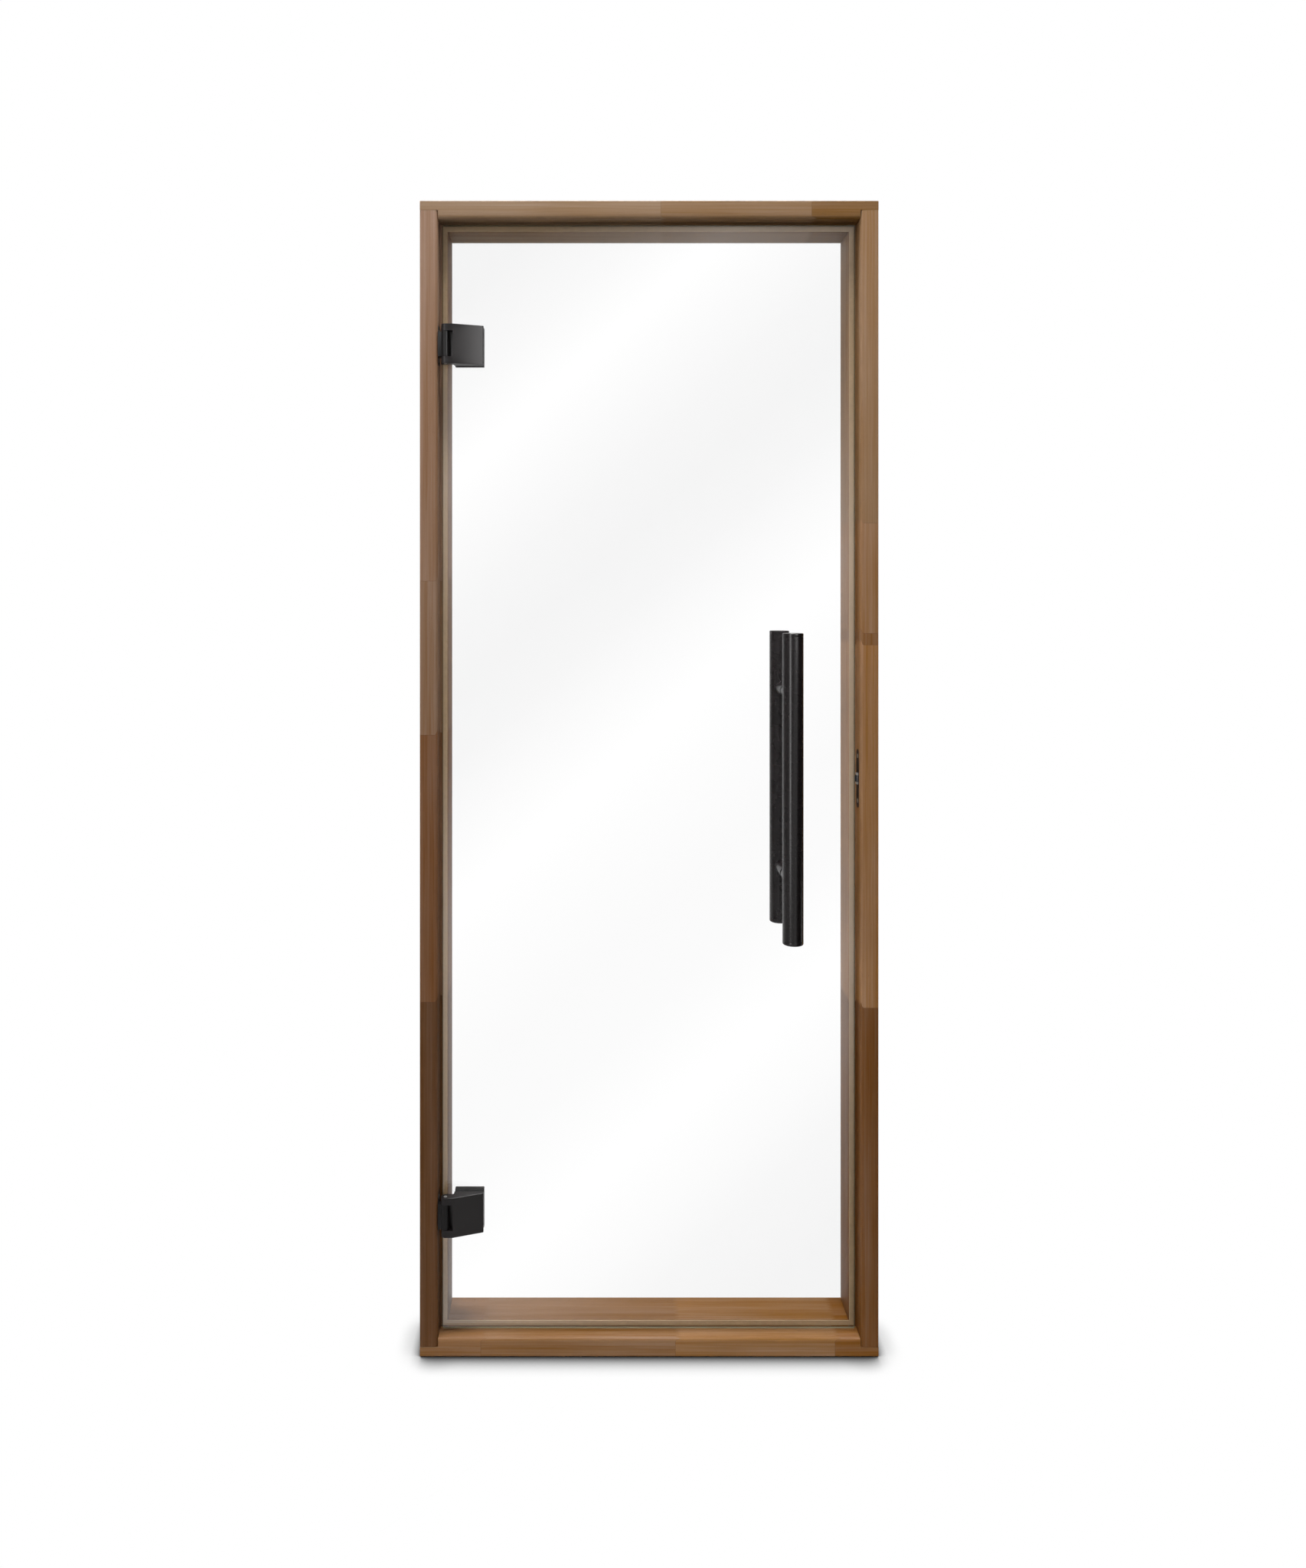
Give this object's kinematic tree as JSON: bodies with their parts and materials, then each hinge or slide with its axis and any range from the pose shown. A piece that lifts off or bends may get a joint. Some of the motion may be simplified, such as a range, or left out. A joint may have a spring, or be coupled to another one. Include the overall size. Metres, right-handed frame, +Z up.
{
  "type": "sauna door",
  "caption": "Framed glass sauna door: frameless leaf on clamp hinges swings outward in a rebated wooden frame, with pull tubes on both sides and a roller catch.",
  "frame": {"origin": "middle of the sill's underside: half way across the frame's width and half way through its depth", "axes": "+Z up along the jambs, -Y out of the front face that the leaf opens towards, +X from the hinge jamb to the catch jamb"},
  "size_m": [0.79, 0.167, 1.99],
  "materials": {
    "stained_wood": "brown stain, satin",
    "toughened_glass": "clear, polished edges",
    "dark_metal": "dark bronze powder coat, satin",
    "bright_steel": "zinc plated",
    "black_rubber": "matt",
    "dark_nylon": "matt"
  },
  "bodies": {
    "frame": {"left_jamb": "stained_wood", "right_jamb": "stained_wood", "sill": "stained_wood", "head": "stained_wood", "upper_hinge_frame_leaf": "dark_metal", "upper_hinge_pin": "bright_steel", "upper_hinge_upper_flange_screw": "bright_steel", "upper_hinge_lower_flange_screw": "bright_steel", "lower_hinge_frame_leaf": "dark_metal", "lower_hinge_pin": "bright_steel", "lower_hinge_upper_flange_screw": "bright_steel", "lower_hinge_lower_flange_screw": "bright_steel", "catch_face_plate": "dark_metal", "catch_upper_screw": "bright_steel", "catch_lower_screw": "bright_steel"},
    "door_leaf": {"glass_pane": "toughened_glass", "upper_hinge_front_body": "dark_metal", "upper_hinge_rear_plate": "dark_metal", "upper_hinge_front_gasket": "black_rubber", "upper_hinge_rear_gasket": "black_rubber", "upper_hinge_upper_clamp_screw": "bright_steel", "upper_hinge_lower_clamp_screw": "bright_steel", "lower_hinge_front_body": "dark_metal", "lower_hinge_rear_plate": "dark_metal", "lower_hinge_front_gasket": "black_rubber", "lower_hinge_rear_gasket": "black_rubber", "lower_hinge_upper_clamp_screw": "bright_steel", "lower_hinge_lower_clamp_screw": "bright_steel", "handle_front_bar": "dark_metal", "handle_front_top_cap": "dark_metal", "handle_front_bottom_cap": "dark_metal", "handle_front_upper_post": "dark_metal", "handle_front_lower_post": "dark_metal", "handle_front_upper_washer": "black_rubber", "handle_front_lower_washer": "black_rubber", "handle_rear_bar": "dark_metal", "handle_rear_top_cap": "dark_metal", "handle_rear_bottom_cap": "dark_metal", "handle_rear_upper_post": "dark_metal", "handle_rear_lower_post": "dark_metal", "handle_rear_upper_washer": "black_rubber", "handle_rear_lower_washer": "black_rubber", "handle_upper_stud": "bright_steel", "handle_lower_stud": "bright_steel"},
    "catch_roller": {"catch_plunger": "bright_steel", "catch_roller": "dark_nylon"}
  },
  "joints": [
    {"name": "door_swing", "type": "hinge", "parent": "frame", "child": "door_leaf", "pos_m": [-0.351, -0.046, 0.995], "axis": [0, 0, -1], "range_deg": [0, 120]},
    {"name": "catch_press", "type": "slide", "parent": "frame", "child": "catch_roller", "axis": [1, 0, 0], "range_m": [0, 0.004], "stiffness_N_per_m": 900}
  ]
}
